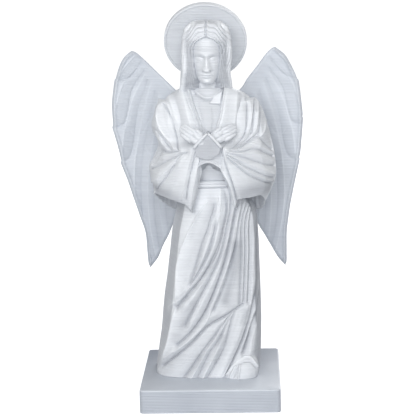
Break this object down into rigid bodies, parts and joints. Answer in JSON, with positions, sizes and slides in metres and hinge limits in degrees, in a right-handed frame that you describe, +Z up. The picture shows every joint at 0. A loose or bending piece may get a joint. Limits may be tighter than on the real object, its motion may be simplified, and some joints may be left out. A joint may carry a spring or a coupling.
{
  "type": "angel figurine",
  "caption": "Standing robed angel with bowed head, hands crossed on the breast, flat halo, feathered wings and a square plinth.",
  "frame": {"origin": "centre of the plinth's underside", "axes": "+Z up, the figure faces -Y, +X to the viewer's right"},
  "size_m": [0.0986, 0.07, 0.1998],
  "materials": {
    "silk_white": "silk white printed plastic with fine layer lines",
    "shade_white": "silk white printed plastic, cooler and a little darker",
    "dowel_wood": "plain round dowel, hidden in the joints"
  },
  "bodies": {
    "root": {"plinth": "shade_white", "plinth_dowels": "dowel_wood", "skirt": "silk_white", "foot": "silk_white", "waist_dowel": "dowel_wood", "bodice": "silk_white", "blouse_fold": "silk_white", "sash": "silk_white", "robe": "silk_white", "collar": "silk_white", "sleeve_left": "silk_white", "sleeve_right": "silk_white", "hand_left": "silk_white", "hand_right": "silk_white", "neck": "silk_white", "head": "silk_white", "hair": "silk_white", "halo": "silk_white", "halo_pin": "dowel_wood", "wing_left": "shade_white", "wing_right": "shade_white", "wing_pins": "dowel_wood"}
  },
  "joints": []
}
